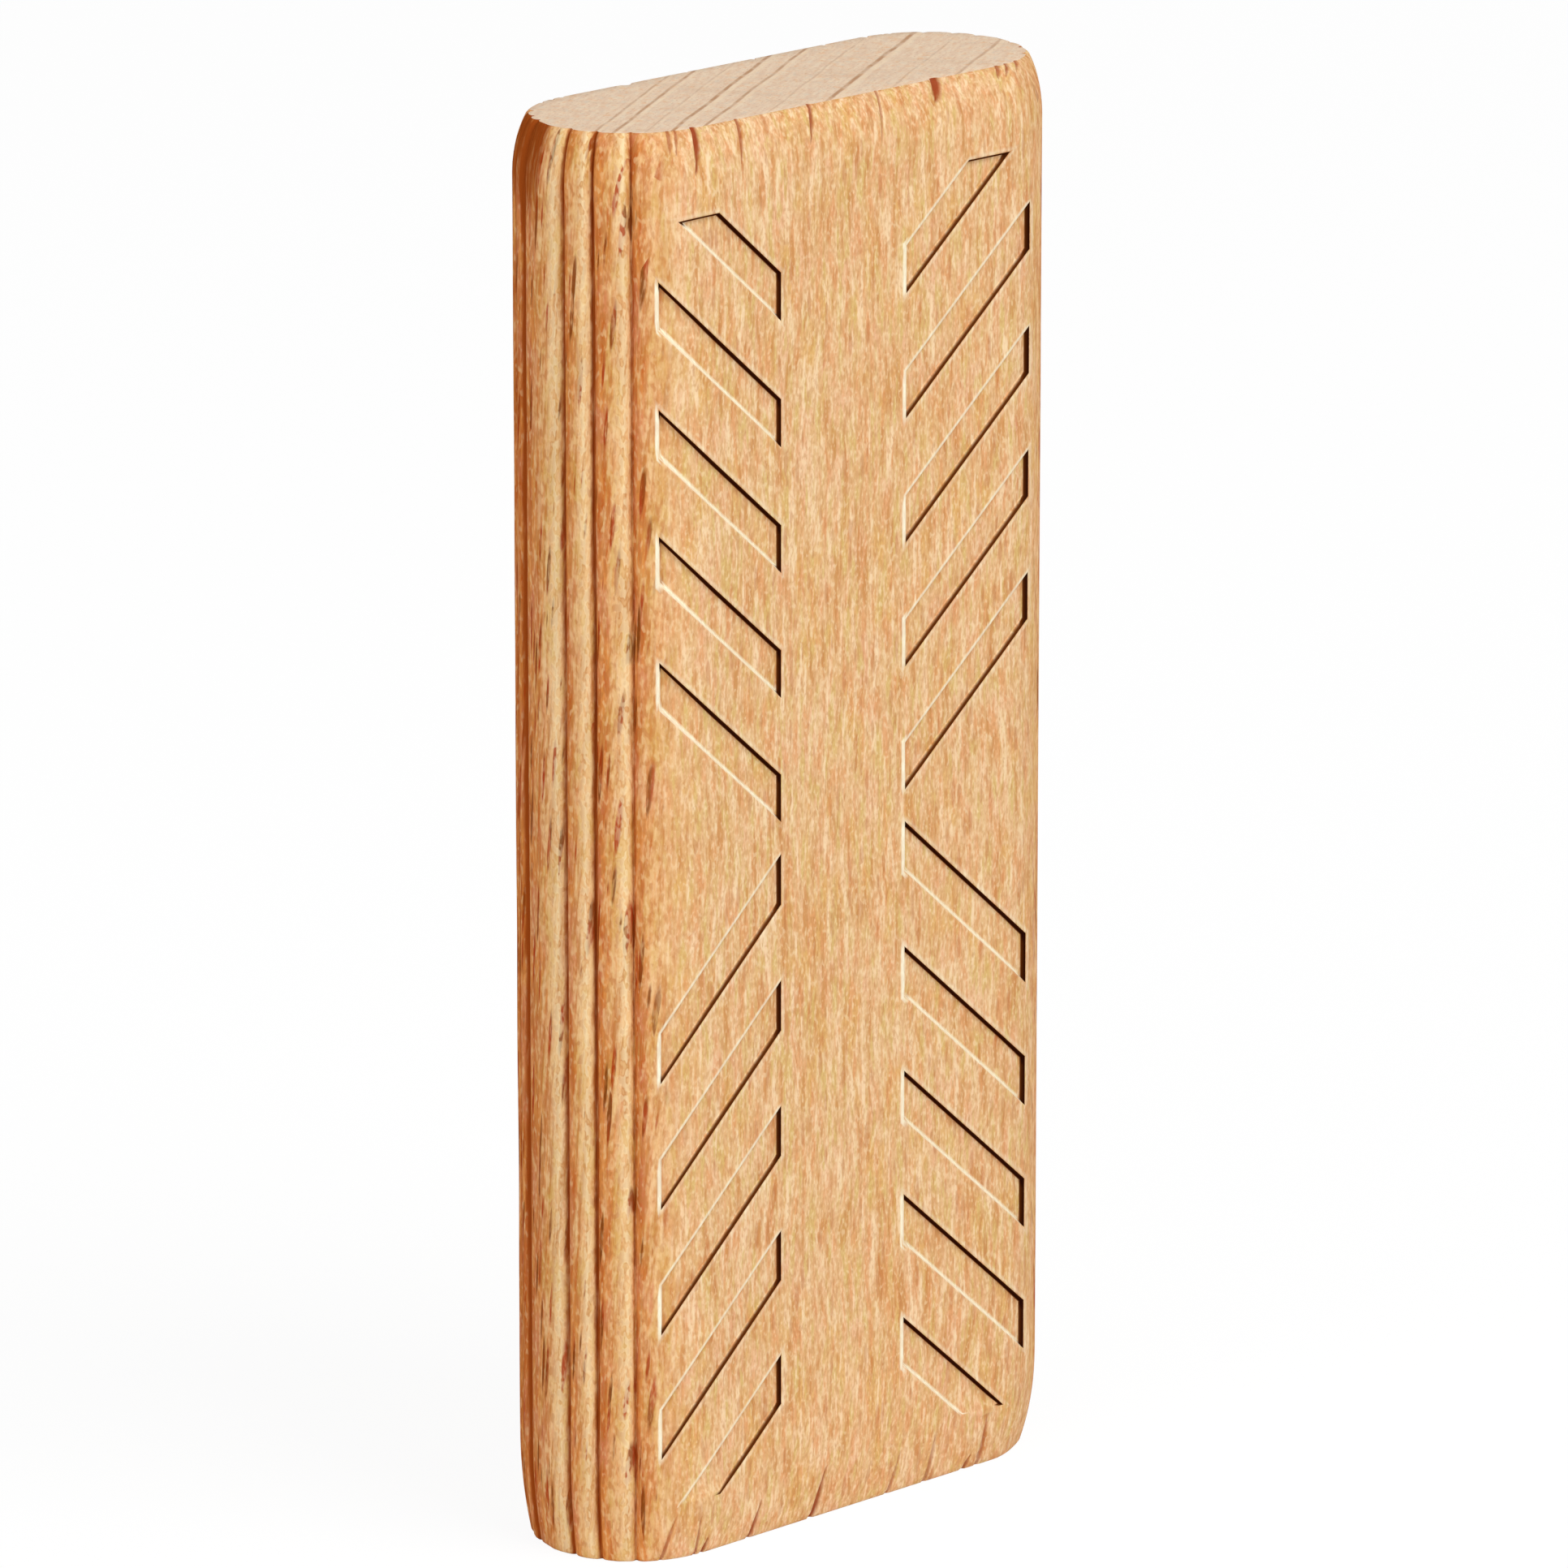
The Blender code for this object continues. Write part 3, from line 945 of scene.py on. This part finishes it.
    # Flutes with stain and painted shade, a painted highlight beside them, torn fibre, and
    # painted shade and highlight on the walls and rims of the pockets
    # Stain and painted shade in the flutes, with a ragged edge
    worn = s.math("ADD", groove, s.math("MULTIPLY_ADD", rough_edge, 0.9, -0.45))
    stain_and_shade = s.spread(worn, 0.34, 0.95)
    stain_and_shade = s.math("MULTIPLY", stain_and_shade, s.math("GREATER_THAN", groove, 0.001))
    colour = s.mix(stain_and_shade, colour, linear(158, 74, 24))
    # Painted highlight beside each flute
    ridge_painted_highlight = s.math("MULTIPLY", s.weight("ridge_highlight"), s.spread(granule, 0.40, 0.56, 0.10, 0.95))
    colour = s.mix(ridge_painted_highlight, colour, linear(255, 234, 186))
    colour = s.mix(s.weight("torn"), colour, linear(158, 66, 18))
    # Painted highlight on the pale walls of the pockets and on their lips
    rim = s.math("MULTIPLY", s.weight("rim_painted_highlight"), s.spread(thread, 0.36, 0.56, 1.0, 0.75))
    colour = s.mix(rim, colour, linear(255, 248, 220))
    # Painted shade on the dark walls of the pockets
    wall_shade_colour = s.mix(s.spread(painted_wall_shade, 0.72, 1.0), linear(92, 44, 12), linear(38, 10, 4))
    colour = s.mix(s.spread(painted_wall_shade, 0.0, 0.66), colour, wall_shade_colour)
    s.put(s.shader.inputs["Base Color"], colour)

    s.put(s.shader.inputs["Roughness"], s.spread(dash, 0.3, 0.7, 0.58, 0.72))
    dulled = s.math("ADD", s.math("ADD", painted_wall_shade, stain_and_shade), s.math("MULTIPLY", edge, 0.45))
    s.put(s.shader.inputs["Specular IOR Level"], s.spread(dulled, 0.0, 0.6, 0.24, 0.0))
    fibre = s.math("MULTIPLY_ADD", thread, 0.5, s.math("MULTIPLY", dash, -0.6))
    fibre = s.math("SUBTRACT", fibre, s.math("MULTIPLY", fleck, 0.4))
    bump = s.node("ShaderNodeBump", {"Strength": 0.6, "Distance": 0.05 * MM, "Height": fibre})
    s.put(s.shader.inputs["Normal"], bump.outputs[0])
    return s.material


def end_material():
    """End grain: paler, with thin rays, faint growth rings and fine pores."""
    s = Shade("beech_end_grain")
    place = s.wood_place(RAY_ANGLE)
    across = s.node("ShaderNodeSeparateXYZ", {0: place}).outputs[1]
    sway = s.noise(place, (0.22, 0.22, 0.2), 2.0)
    across = s.math("MULTIPLY_ADD", s.math("SUBTRACT", sway, 0.5), 0.3, across)

    pores = s.noise(place, (9.0, 9.0, 1.0), 2.0, 0.6)
    grain = s.noise(place, (1.1, 5.0, 1.0), 3.0, 0.6)
    rings = s.noise(place, (1.2, 0.16, 0.2), 3.0, 0.55)
    speck = s.noise(place, (3.2, 3.2, 1.0), 2.0, 0.6)
    colour = s.mix(s.spread(grain, 0.35, 0.65), linear(244, 219, 190), linear(236, 204, 174))
    marks = (
        (rings, 0.46, 0.68, 0.35, (222, 189, 158)),
        (speck, 0.54, 0.72, 0.70, (238, 190, 142)),
        (speck, 0.46, 0.28, 0.60, (226, 210, 190)),
        (pores, 0.55, 0.72, 0.60, (204, 160, 124)),
    )
    colour = s.layers(colour, marks)

    # Each ray is a brown line, and beside it a pale band that is wider
    broken = s.spread(s.noise(place, (1.1, 2.0, 1.0), 2.0), 0.35, 0.6, 0.50, 1.0)
    for line, half, strength in RAY_LINES:
        off = s.math("SUBTRACT", across, line)
        ray = s.math("ABSOLUTE", off)
        band = s.math("ABSOLUTE", s.math("ADD", off, 2.6 * half))
        lines = (
            (band, 2.0 * half, 0.8 * half, 0.55 * strength, (252, 228, 194)),
            (ray, 1.5 * half, 0.4 * half, 0.80 * strength, (176, 120, 72)),
        )
        colour = s.layers(colour, lines, broken)
    s.put(s.shader.inputs["Base Color"], colour)

    s.put(s.shader.inputs["Roughness"], s.spread(pores, 0.3, 0.7, 0.62, 0.80))
    s.shader.inputs["Specular IOR Level"].default_value = 0.25
    bump = s.node("ShaderNodeBump", {"Strength": 0.4, "Distance": 0.04 * MM, "Height": pores})
    s.put(s.shader.inputs["Normal"], bump.outputs[0])
    return s.material


def direction(azimuth, elevation):
    """Unit vector towards a place, by its angle to the right of the front, and upwards."""
    level = math.cos(elevation)
    return Vector((math.sin(azimuth) * level, -math.cos(azimuth) * level, math.sin(elevation)))


def place_camera():
    back = direction(-CAMERA_AZIMUTH, CAMERA_ELEVATION)
    right = Vector((math.cos(CAMERA_AZIMUTH), -math.sin(CAMERA_AZIMUTH), 0.0))
    up = back.cross(right)
    spot = CENTRE + back * CAMERA_DISTANCE + right * CAMERA_ACROSS + up * CAMERA_UP
    data = bpy.data.cameras.new("camera")
    data.lens = CAMERA_LENS
    data.sensor_width = CAMERA_SENSOR
    data.clip_start = 0.01
    camera = bpy.data.objects.new("camera", data)
    camera.matrix_world = Matrix.Translation(spot) @ Matrix((right, up, back)).transposed().to_4x4()
    bpy.context.scene.collection.objects.link(camera)
    bpy.context.scene.camera = camera


def add_light(name, azimuth, elevation, level, size):
    """Square soft light that gives a facing white surface this level of brightness."""
    way = direction(math.radians(azimuth), math.radians(elevation))
    data = bpy.data.lights.new(name, "AREA")
    data.energy = level * (math.pi * LIGHT_DISTANCE) ** 2
    data.size = size
    light = bpy.data.objects.new(name, data)
    light.location = CENTRE + way * LIGHT_DISTANCE
    light.rotation_euler = way.to_track_quat("Z", "Y").to_euler()
    bpy.context.scene.collection.objects.link(light)


def seen_directly(tree):
    """1 for rays from the camera, and for those that gloss or glass sends on."""
    path = tree.nodes.new("ShaderNodeLightPath")
    total = path.outputs["Is Camera Ray"]
    for name in ("Is Glossy Ray", "Is Transmission Ray"):
        add = tree.nodes.new("ShaderNodeMath")
        add.operation = "ADD"
        add.use_clamp = True
        tree.links.new(total, add.inputs[0])
        tree.links.new(path.outputs[name], add.inputs[1])
        total = add.outputs[0]
    return total


def show(tree, hidden, seen, share, output):
    """Lead one shader to an output, and another, by a share, to where it is seen directly."""
    factor = tree.nodes.new("ShaderNodeMath")
    factor.operation = "MULTIPLY"
    factor.inputs[1].default_value = share
    mix = tree.nodes.new("ShaderNodeMixShader")
    tree.links.new(seen_directly(tree), factor.inputs[0])
    tree.links.new(factor.outputs[0], mix.inputs[0])
    tree.links.new(hidden.outputs[0], mix.inputs[1])
    tree.links.new(seen.outputs[0], mix.inputs[2])
    tree.links.new(mix.outputs[0], output.inputs["Surface"])


def add_world():
    """Even grey light from all round, and plain white where the background is seen."""
    world = bpy.data.worlds.new("studio")
    world.use_nodes = True
    bpy.context.scene.world = world
    tree = world.node_tree
    light = tree.nodes["Background"]
    light.inputs["Color"].default_value = WHITE
    light.inputs["Strength"].default_value = WORLD_LEVEL
    white = tree.nodes.new("ShaderNodeBackground")
    white.inputs["Color"].default_value = WHITE
    show(tree, light, white, 1.0, tree.nodes["World Output"])


def add_floor():
    """Pale floor: white where it is seen, with a light shadow under the tenon."""
    half = FLOOR_HALF_WIDTH
    data = bpy.data.meshes.new("floor")
    corners = [(-half, -half, 0), (half, -half, 0), (half, half, 0), (-half, half, 0)]
    data.from_pydata(corners, [], [(0, 1, 2, 3)])
    floor = bpy.data.objects.new("floor", data)
    bpy.context.scene.collection.objects.link(floor)
    material = bpy.data.materials.new("floor")
    material.use_nodes = True
    tree = material.node_tree
    shader = tree.nodes["Principled BSDF"]
    shader.inputs["Base Color"].default_value = FLOOR_COLOUR
    shader.inputs["Roughness"].default_value = 0.9
    glow = tree.nodes.new("ShaderNodeEmission")
    glow.inputs["Strength"].default_value = FLOOR_GLOW
    show(tree, shader, glow, FLOOR_GLOW_SHARE, tree.nodes["Material Output"])
    data.materials.append(material)


wood = wood_object(side_material(), end_material())
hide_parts("tenon")
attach(wood, "root")
add_floor()
add_world()
add_light("key", azimuth=10.0, elevation=50.0, level=0.70, size=0.5)
add_light("fill", azimuth=-75.0, elevation=20.0, level=0.40, size=0.6)
place_camera()
bpy.context.scene.view_settings.view_transform = "Standard"
